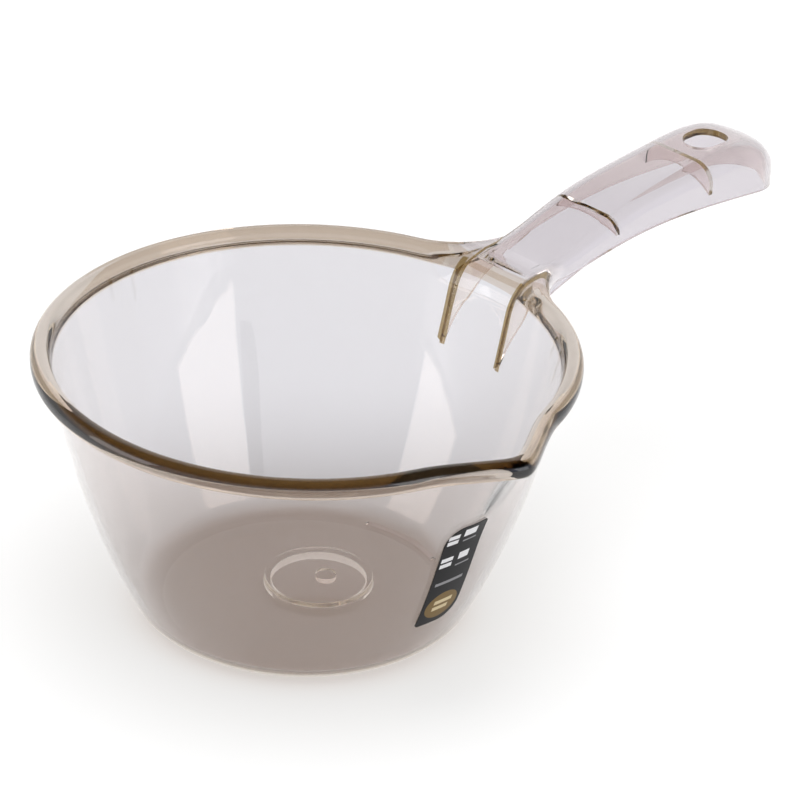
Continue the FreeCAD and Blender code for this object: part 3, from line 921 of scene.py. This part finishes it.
@dataclass
class Gate:
    """The raised disc in the floor, hollow below, and the gate stub in it."""

    place: float = 7.2
    radius: float = 17.6
    rise: float = 2.5
    draft: float = 0.6
    stub_place: float = 10.3
    stub_radius: float = 3.5
    stub_draft: float = 0.4
    stub_length: float = 1.8
    edge_round: float = 0.35
    edge_segments: int = 4
    facets: int = 144
    clear: float = 10.0

    def cone(self, name: str, x: float, low: float, high: float, radii: tuple[float, float],
             rounded: bool) -> bpy.types.Object:
        """An upright round body, its upper edge rounded or sharp.

        Args:
            name: The new object's name.
            x: Where its axis stands.
            low: Height of its lower end.
            high: Height of its upper end.
            radii: Radius of the lower and of the upper end.
            rounded: True to round the upper edge.

        Returns:
            The new object.
        """
        bpy.ops.object.select_all(action="DESELECT")
        bpy.ops.mesh.primitive_cone_add(
            vertices=self.facets, radius1=radii[0] * METRES_PER_MM, radius2=radii[1] * METRES_PER_MM,
            depth=(high - low) * METRES_PER_MM, location=metres((x, 0, (low + high) / 2)))
        item = bpy.context.object
        item.name = name
        bpy.ops.object.transform_apply(location=True, rotation=True, scale=True)
        if rounded:
            with editing(item):
                pick(item, Pick.EDGES, lambda place: place.z > high - NEAR_MM)
                bpy.ops.mesh.bevel(offset=self.edge_round * METRES_PER_MM, segments=self.edge_segments,
                                   profile=0.5, affect="EDGES")
        return item

    def build_on(self, body: bpy.types.Object, bowl: Bowl) -> None:
        """Raise the disc in the floor, hollow it from below and add the stub.

        Args:
            body: The moulding so far.
            bowl: The bowl, for its floor.
        """
        join(body, self.cone("gate_disc", self.place, bowl.floor / 2, bowl.floor + self.rise,
                             (self.radius, self.radius - self.draft), True), Join.ADD)
        join(body, self.cone("disc_recess", self.place, -self.clear, self.rise,
                             (self.radius - bowl.floor,) * 2, True), Join.CUT)
        join(body, self.cone("gate_stub", self.stub_place, self.rise - self.stub_length,
                             self.rise + bowl.floor / 2,
                             (self.stub_radius - self.stub_draft, self.stub_radius), False), Join.ADD)


@dataclass(frozen=True)
class ClearPlastic:
    """Clear smoky SAN, injection moulded in a polished tool.

    It gives the eye sharp reflections, a faint brown that deepens with thickness, slow waves in what is seen
    through it, a bead that is darker partly from its thickness and partly from painted shade, a handle
    darkened by painted shade, and a gold-brown line of painted shade wherever a thin plate is seen from its
    narrow edge.
    These painted shades are fitted to the picture. The shadow is pale, and a little darker under the base.

    Each box is its middle and its half sizes in millimetres. Each edge is the box round a plate and the axis
    square to the plate, from which its narrow faces turn away.
    """

    name: str = "san_injection_moulded_clear_smoky"
    index: float = 1.57
    polish: tuple[float, float] = (0.004, 0.03)
    haze_mm: float = 22.0
    haze_range: tuple[float, float] = (0.35, 0.75)
    smoke: str = "#CBB98D"
    smoke_density: float = 35.0
    tint: str = "#FBF5F2"
    wall_shade: str = "#FAF7F5"
    base_shade: str = "#EEDFD3"
    base_top_mm: tuple[float, float] = (6.0, 11.0)
    # Painted shade: the handle and the bead are coloured darker inside their boxes, though the plastic is
    # one.
    handle_painted_shade: str = "#EFE5E4"
    handle_shade_box: tuple[Point, Point] = ((150.0, 0.0, 92.0), (66.0, 22.0, 14.0))
    bead_painted_shade: str = "#DCC8B4"
    bead_shade_box: tuple[Point, Point] = ((-8.0, 0.0, 91.0), (91.0, 100.0, 7.6))
    # Painted shade: gold-brown on the narrow faces of the webs, the gussets and the slot's sides.
    edge_painted_shade: str = "#7A5A2A"
    edge_turn: float = 0.6
    edges: tuple[tuple[Point, Point, str], ...] = (
        ((123.7, 0.0, 84.0), (0.85, 11.9, 9.5), "X"), ((167.0, 0.0, 89.5), (0.85, 13.2, 9.3), "X"),
        ((94.0, 12.45, 72.7), (23.5, 1.0, 14.0), "Y"), ((94.0, -12.45, 72.7), (23.5, 1.0, 14.0), "Y"),
        ((179.7, 0.0, 100.75), (8.3, 6.5, 1.6), "Z"),
    )
    wave_mm: float = 14.0
    wave_depth_mm: float = 0.02

    def colour(self, tree: bpy.types.NodeTree, coordinates: bpy.types.NodeOutputs) -> bpy.types.NodeSocket:
        """The plastic's colour at each place, with painted shade over the handle, the bead and the narrow
        edges of thin plates.

        Args:
            tree: The material's nodes.
            coordinates: The texture coordinates.

        Returns:
            The socket that gives it.
        """
        place = coordinates["Object"]
        tint = add_node(tree, "ShaderNodeRGB").outputs[0]
        tint.default_value = linear(self.tint)
        # Painted shade: a darker colour over the handle and over the bead.
        for box, shade in ((self.handle_shade_box, self.handle_painted_shade), (self.bead_shade_box, self.bead_painted_shade)):
            tint = add_node(tree, "ShaderNodeMix", {0: within(tree, place, *box), 6: tint},
                            {7: linear(shade)}, data_type="RGBA").outputs[2]
        faces = add_node(tree, "ShaderNodeVectorMath", {0: coordinates["Normal"]}, operation="ABSOLUTE")
        faces = add_node(tree, "ShaderNodeSeparateXYZ", {"Vector": faces.outputs["Vector"]}).outputs
        # Painted shade: gold-brown on the narrow faces inside each edge box.
        for centre, half, thin_way in self.edges:
            narrow = add_node(tree, "ShaderNodeMath", {0: faces[thin_way]}, {1: self.edge_turn},
                              operation="LESS_THAN")
            share = add_node(tree, "ShaderNodeMath", {0: within(tree, place, centre, half),
                                                      1: narrow.outputs[0]}, operation="MULTIPLY")
            tint = add_node(tree, "ShaderNodeMix", {0: share.outputs[0], 6: tint},
                            {7: linear(self.edge_painted_shade)}, data_type="RGBA").outputs[2]
        return tint

    def make(self) -> bpy.types.Material:
        """Build the material.

        Returns:
            The new material.
        """
        material = new_material(self.name)
        tree = material.node_tree
        coordinates = add_node(tree, "ShaderNodeTexCoord").outputs
        place = coordinates["Object"]
        waves = add_node(tree, "ShaderNodeTexNoise", {"Vector": place},
                         {"Scale": 1 / (self.wave_mm * METRES_PER_MM), "Detail": 1.0, "Roughness": 0.4})
        bump = add_node(tree, "ShaderNodeBump", {"Height": waves.outputs["Fac"]},
                        {"Strength": 1.0, "Distance": self.wave_depth_mm * METRES_PER_MM})
        haze = add_node(tree, "ShaderNodeTexNoise", {"Vector": place},
                        {"Scale": 1 / (self.haze_mm * METRES_PER_MM), "Detail": 3.0, "Roughness": 0.6})
        wear = add_node(tree, "ShaderNodeMapRange", {"Value": haze.outputs["Fac"]},
                        {"From Min": self.haze_range[0], "From Max": self.haze_range[1],
                         "To Min": self.polish[0], "To Max": self.polish[1]})
        plastic = add_node(tree, "ShaderNodeBsdfPrincipled",
                           {"Base Color": self.colour(tree, coordinates), "Normal": bump.outputs["Normal"],
                            "Roughness": wear.outputs["Result"]},
                           {"IOR": self.index, "Transmission Weight": 1.0})
        height = add_node(tree, "ShaderNodeSeparateXYZ", {"Vector": place}).outputs["Z"]
        above = add_node(tree, "ShaderNodeMapRange", {"Value": height},
                         {"From Min": self.base_top_mm[0] * METRES_PER_MM,
                          "From Max": self.base_top_mm[1] * METRES_PER_MM})
        shade = add_node(tree, "ShaderNodeMix", {0: above.outputs["Result"]},
                         {6: linear(self.base_shade), 7: linear(self.wall_shade)}, data_type="RGBA")
        thin = add_node(tree, "ShaderNodeBsdfTransparent", {"Color": shade.outputs[2]})
        shadow = add_node(tree, "ShaderNodeLightPath").outputs["Is Shadow Ray"]
        mix = add_node(tree, "ShaderNodeMixShader",
                       {0: shadow, 1: plastic.outputs["BSDF"], 2: thin.outputs["BSDF"]})
        smoke = add_node(tree, "ShaderNodeVolumeAbsorption", None,
                         {"Color": linear(self.smoke), "Density": self.smoke_density})
        add_node(tree, "ShaderNodeOutputMaterial",
                 {"Surface": mix.outputs["Shader"], "Volume": smoke.outputs["Volume"]})
        return material


@dataclass(frozen=True)
class PrintedFilm:
    """Polypropylene label film, printed black and satin varnished.

    It gives the eye a near black ground with a soft, slightly grainy gloss. The varnish's real grain is
    finer; it is drawn coarse enough to show. Each bar is its middle across and up and its half width and half
    height, in millimetres.
    """

    name: str = "pp_film_printed_satin"
    ground: str = "#131215"
    pale_ink: str = "#E9E8EA"
    grey_ink: str = "#8E8D90"
    bronze_ink: str = "#7A6238"
    cream_ink: str = "#D9C7A0"
    turn_degrees: float = 3.2
    roughness: float = 0.38
    roughness_spread: float = 0.08
    varnish: float = 0.1
    grain_mm: float = 0.5
    pale_bars: tuple[Bar, ...] = (
        (-4.6, 57.3, 2.0, 0.8), (-4.6, 55.1, 2.0, 0.8), (1.4, 57.7, 2.4, 1.4),
        (-4.5, 48.2, 2.2, 0.8), (-4.5, 45.9, 2.2, 0.8), (1.9, 48.1, 2.0, 1.4),
    )
    grey_bars: tuple[Bar, ...] = ((1.9, 54.5, 2.6, 0.3), (2.4, 44.4, 2.8, 0.3), (-0.5, 38.0, 5.4, 0.6))
    seal: Bar = (0.0, 27.9, 6.2, 5.4)
    cream_bars: tuple[Bar, ...] = ((0.2, 29.4, 3.5, 0.8), (-0.3, 26.7, 3.0, 0.8))

    def make(self) -> bpy.types.Material:
        """Build the material.

        Returns:
            The new material.
        """
        material = new_material(self.name)
        tree = material.node_tree
        place = add_node(tree, "ShaderNodeTexCoord").outputs["Object"]
        label = add_node(tree, "ShaderNodeVectorRotate", {"Vector": place},
                         {"Angle": math.radians(self.turn_degrees)}, rotation_type="Z_AXIS").outputs["Vector"]
        layers = [(self.seal, self.bronze_ink, True)]
        layers += [(bar, self.pale_ink, False) for bar in self.pale_bars]
        layers += [(bar, self.grey_ink, False) for bar in self.grey_bars]
        layers += [(bar, self.cream_ink, False) for bar in self.cream_bars]
        ink = add_node(tree, "ShaderNodeRGB").outputs[0]
        ink.default_value = linear(self.ground)
        for bar, colour, rounded in layers:
            across, up, half_width, half_height = bar
            printed = within(tree, label, (across, 0, up), (half_width, BEYOND_MM, half_height), rounded)
            mix = add_node(tree, "ShaderNodeMix", {0: printed, 6: ink}, {7: linear(colour)},
                           data_type="RGBA")
            ink = mix.outputs[2]
        grain = add_node(tree, "ShaderNodeTexNoise", {"Vector": place},
                         {"Scale": 1 / (self.grain_mm * METRES_PER_MM), "Detail": 2.0})
        satin = add_node(tree, "ShaderNodeMapRange", {"Value": grain.outputs["Fac"]},
                         {"To Min": self.roughness - self.roughness_spread,
                          "To Max": self.roughness + self.roughness_spread})
        film = add_node(tree, "ShaderNodeBsdfPrincipled",
                        {"Base Color": ink, "Roughness": satin.outputs["Result"]},
                        {"Specular IOR Level": self.varnish})
        add_node(tree, "ShaderNodeOutputMaterial", {"Surface": film.outputs["BSDF"]})
        return material


@dataclass(frozen=True)
class LabelGlue:
    """Acrylic label adhesive, roller coated.

    It gives the eye the dull grey of the label's back through the wall, with faint upright coating streaks,
    drawn coarser than the real ones so that they show.
    """

    name: str = "acrylic_adhesive_coated"
    coat: str = "#B5B1AE"
    thin_coat: str = "#8F8B8A"
    roughness: float = 0.6
    streak_mm: Point = (0.8, 0.8, 9.0)

    def make(self) -> bpy.types.Material:
        """Build the material.

        Returns:
            The new material.
        """
        material = new_material(self.name)
        tree = material.node_tree
        place = add_node(tree, "ShaderNodeTexCoord").outputs["Object"]
        drawn = add_node(tree, "ShaderNodeVectorMath", {0: place}, {1: metres(self.streak_mm)},
                         operation="DIVIDE")
        streaks = add_node(tree, "ShaderNodeTexNoise", {"Vector": drawn.outputs["Vector"]},
                           {"Scale": 1.0, "Detail": 2.0})
        coat = add_node(tree, "ShaderNodeMix", {0: streaks.outputs["Fac"]},
                        {6: linear(self.thin_coat), 7: linear(self.coat)}, data_type="RGBA")
        glue = add_node(tree, "ShaderNodeBsdfPrincipled", {"Base Color": coat.outputs[2]},
                        {"Roughness": self.roughness})
        add_node(tree, "ShaderNodeOutputMaterial", {"Surface": glue.outputs["BSDF"]})
        return material


@dataclass
class Dipper:
    """The whole moulding, joined from its parts."""

    bowl: Bowl = field(default_factory=Bowl)
    handle: Handle = field(default_factory=Handle)
    gate: Gate = field(default_factory=Gate)
    finish: ClearPlastic = ClearPlastic()
    smooth_under: float = 34.0

    def build(self) -> bpy.types.Object:
        """Model the moulding and let it stand for the CAD body.

        Returns:
            The moulding.
        """
        canopy = self.bowl.rim(self.handle)
        join(canopy, self.handle.outside(), Join.ADD)
        join(canopy, self.handle.gussets(), Join.ADD)
        join(canopy, self.handle.channel(self.bowl), Join.CUT)
        body = self.bowl.outside()
        join(body, canopy, Join.ADD)
        join(body, self.bowl.inside(), Join.CUT)
        join(body, self.handle.slot(), Join.CUT)
        self.gate.build_on(body, self.bowl)
        body.name = "dipper_moulding"
        with editing(body):
            weld(gap=2e-6, sliver=1e-6)
        choose(body)
        bpy.ops.object.shade_smooth_by_angle(angle=math.radians(self.smooth_under))
        body.data.materials.clear()
        body.data.materials.append(self.finish.make())
        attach(body, BODY)
        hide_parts("dipper_body")
        return body


@dataclass
class Label:
    """The label on the wall beside the spout: printed film on its adhesive."""

    film: PrintedFilm = PrintedFilm()
    glue: LabelGlue = LabelGlue()

    def dress(self) -> None:
        """Give both layers their finishes."""
        for name, finish in (("label_film", self.film), ("label_adhesive", self.glue)):
            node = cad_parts[name]
            node.data.materials.clear()
            node.data.materials.append(finish.make())


@dataclass
class Studio:
    """A pale floor, soft lamps, a white surrounding and the camera.

    Each part of the mirrored room is a way, the cosines of the angles off it at which its colour starts and
    is whole, and the colour. Each lamp is its name, place, sides and power in watts.
    """

    aim_turn: float = 44.444
    aim_down: float = 29.176
    roll: float = 2.068
    stand: Point = (-755.9, -781.4, 677.8)
    focal_pixels: float = 4078.98
    view_end: float = 20000.0
    floor_side: float = 6000.0
    paper: str = "#EFEFEF"
    soft_paper: str = "#CBCBCB"
    surround_light: float = 0.25
    backdrop: str = "#E2E7F0"
    floor_glow: float = 0.45
    floor_glare: float = 0.6
    mirrored_room: tuple[tuple[Point, float, float, str], ...] = (
        ((-0.7, -0.714, 0.0), -0.3, 0.3, "#E4EAFF"),
        ((0.0, 0.0, 1.0), 0.4, 0.75, "#1F1D1C"),
    )
    lamps: tuple[tuple[str, Point, tuple[float, float], float], ...] = (
        ("right_softbox", (167.0, -1188.0, 380.0), (760.0, 740.0), 3.0),
        ("left_softbox", (-1050.0, 582.0, 330.0), (660.0, 640.0), 2.4),
    )
    lamp_aim: Point = (0.0, 0.0, 60.0)
    sky_power: float = 2.5
    sky_spread: float = 70.0
    bounces: int = 200

    def by_ray(self, tree: bpy.types.NodeTree, lighting: bpy.types.Node, shown: bpy.types.Node,
               mirrored: bpy.types.Node, through: bpy.types.Node) -> bpy.types.Node:
        """A shader that depends on the kind of ray that looks at it.

        Args:
            tree: The node tree.
            lighting: What lights the object.
            shown: What camera rays see.
            mirrored: What reflected rays see.
            through: What rays see that have passed through the plastic.

        Returns:
            The node that mixes them.
        """
        path = add_node(tree, "ShaderNodeLightPath")
        whole = lighting
        for kind, node in (("Is Glossy Ray", mirrored), ("Is Transmission Ray", through),
                           ("Is Camera Ray", shown)):
            whole = add_node(tree, "ShaderNodeMixShader",
                             {0: path.outputs[kind], 1: whole.outputs[0], 2: node.outputs[0]})
        return whole

    def set_world(self) -> None:
        """Give each kind of ray its surrounding.

        The camera sees white, rays that have passed through the plastic see a light grey, and reflections
        show a bright room that goes a little blue to the left and dark overhead. What lights the object is
        plain and dim.
        """
        world = bpy.data.worlds.new("studio")
        bpy.context.scene.world = world
        world.use_nodes = True
        tree = world.node_tree
        tree.nodes.clear()
        lighting = add_node(tree, "ShaderNodeBackground", None,
                            {"Color": WHITE, "Strength": self.surround_light})
        shown = add_node(tree, "ShaderNodeBackground", None, {"Color": WHITE, "Strength": 1.0})
        through = add_node(tree, "ShaderNodeBackground", None,
                           {"Color": linear(self.backdrop), "Strength": 1.0})
        way = add_node(tree, "ShaderNodeTexCoord").outputs["Generated"]
        colour = add_node(tree, "ShaderNodeRGB").outputs[0]
        colour.default_value = WHITE
        for direction, start, end, shade in self.mirrored_room:
            along = add_node(tree, "ShaderNodeVectorMath", {0: way}, {1: direction},
                             operation="DOT_PRODUCT")
            share = add_node(tree, "ShaderNodeMapRange", {"Value": along.outputs["Value"]},
                             {"From Min": start, "From Max": end}, interpolation_type="SMOOTHSTEP")
            colour = add_node(tree, "ShaderNodeMix", {0: share.outputs["Result"], 6: colour},
                              {7: linear(shade)}, data_type="RGBA").outputs[2]
        mirrored = add_node(tree, "ShaderNodeBackground", {"Color": colour}, {"Strength": 1.0})
        whole = self.by_ray(tree, lighting, shown, mirrored, through)
        add_node(tree, "ShaderNodeOutputWorld", {"Surface": whole.outputs[0]})

    def lay_floor(self) -> None:
        """Lay a pale paper floor that keeps the object's shadow.

        It glows a little where the camera or a reflection sees it, so that it meets the white surrounding
        without an edge.
        """
        bpy.ops.object.select_all(action="DESELECT")
        bpy.ops.mesh.primitive_plane_add(size=self.floor_side * METRES_PER_MM, location=(0, 0, 0))
        floor = bpy.context.object
        floor.name = "studio_floor"
        material = new_material("paper_sweep_matt_white")
        tree = material.node_tree
        paper = add_node(tree, "ShaderNodeBsdfDiffuse", None, {"Color": linear(self.paper)})
        soft = add_node(tree, "ShaderNodeBsdfDiffuse", None, {"Color": linear(self.soft_paper)})
        glow = add_node(tree, "ShaderNodeEmission", None,
                        {"Color": WHITE, "Strength": self.floor_glow})
        glare = add_node(tree, "ShaderNodeEmission", None,
                         {"Color": WHITE, "Strength": self.floor_glare})
        lit = add_node(tree, "ShaderNodeAddShader", {0: soft.outputs[0], 1: glow.outputs[0]})
        mirrored = add_node(tree, "ShaderNodeAddShader", {0: soft.outputs[0], 1: glare.outputs[0]})
        through = add_node(tree, "ShaderNodeBsdfDiffuse", None, {"Color": linear(self.backdrop)})
        mix = self.by_ray(tree, paper, lit, mirrored, through)
        add_node(tree, "ShaderNodeOutputMaterial", {"Surface": mix.outputs[0]})
        floor.data.materials.append(material)

    def set_lamps(self) -> None:
        """Two softboxes that face the bowl and a wide soft light from above, which no reflection shows."""
        for name, place, sides, power in self.lamps:
            lamp = bpy.data.lights.new(name, "AREA")
            lamp.shape = "RECTANGLE"
            lamp.size, lamp.size_y = (side * METRES_PER_MM for side in sides)
            lamp.energy = power
            item = bpy.data.objects.new(name, lamp)
            item.location = metres(place)
            facing = metres(self.lamp_aim) - item.location
            item.rotation_euler = facing.to_track_quat("-Z", "Y").to_euler()
            bpy.context.collection.objects.link(item)
        sky = bpy.data.lights.new("overhead_diffuser", "SUN")
        sky.energy = self.sky_power
        sky.angle = math.radians(self.sky_spread)
        item = bpy.data.objects.new("overhead_diffuser", sky)
        item.visible_glossy = item.visible_transmission = False
        bpy.context.collection.objects.link(item)

    def set_camera(self) -> None:
        """The camera where the photographer stood."""
        data = bpy.data.cameras.new("camera")
        data.sensor_width = SENSOR_MM
        data.lens = self.focal_pixels / PICTURE_SIDE * SENSOR_MM
        data.clip_end = self.view_end * METRES_PER_MM
        camera = bpy.data.objects.new("camera", data)
        bpy.context.collection.objects.link(camera)
        turn, down, roll = (math.radians(angle) for angle in (self.aim_turn, self.aim_down, self.roll))
        ahead = Vector((math.cos(turn) * math.cos(down), math.sin(turn) * math.cos(down), -math.sin(down)))
        right = ahead.cross(Vector((0, 0, 1))).normalized()
        up = right.cross(ahead)
        right, up = (right * math.cos(roll) + up * math.sin(roll),
                     up * math.cos(roll) - right * math.sin(roll))
        camera.matrix_world = Matrix.Translation(metres(self.stand)) @ Matrix(
            (right, up, -ahead)).transposed().to_4x4()
        bpy.context.scene.camera = camera

    def build(self) -> None:
        """Set up everything that isn't the object."""
        scene = bpy.context.scene
        scene.view_settings.view_transform = "Standard"
        scene.cycles.caustics_refractive = False
        scene.cycles.caustics_reflective = False
        scene.cycles.max_bounces = self.bounces
        scene.cycles.transmission_bounces = self.bounces
        scene.cycles.glossy_bounces = self.bounces
        scene.cycles.transparent_max_bounces = self.bounces
        self.set_camera()
        self.lay_floor()
        self.set_world()
        self.set_lamps()


def main() -> None:
    """Build the studio, the moulding and the label, and report each piece."""
    logging.basicConfig(level=logging.INFO, format="%(name)s: %(message)s")
    Studio().build()
    body = Dipper().build()
    log.info("moulding: %d vertices, %d faces", len(body.data.vertices), len(body.data.polygons))
    Label().dress()
    log.info("label: film and adhesive dressed")


if __name__ == "__main__":
    main()
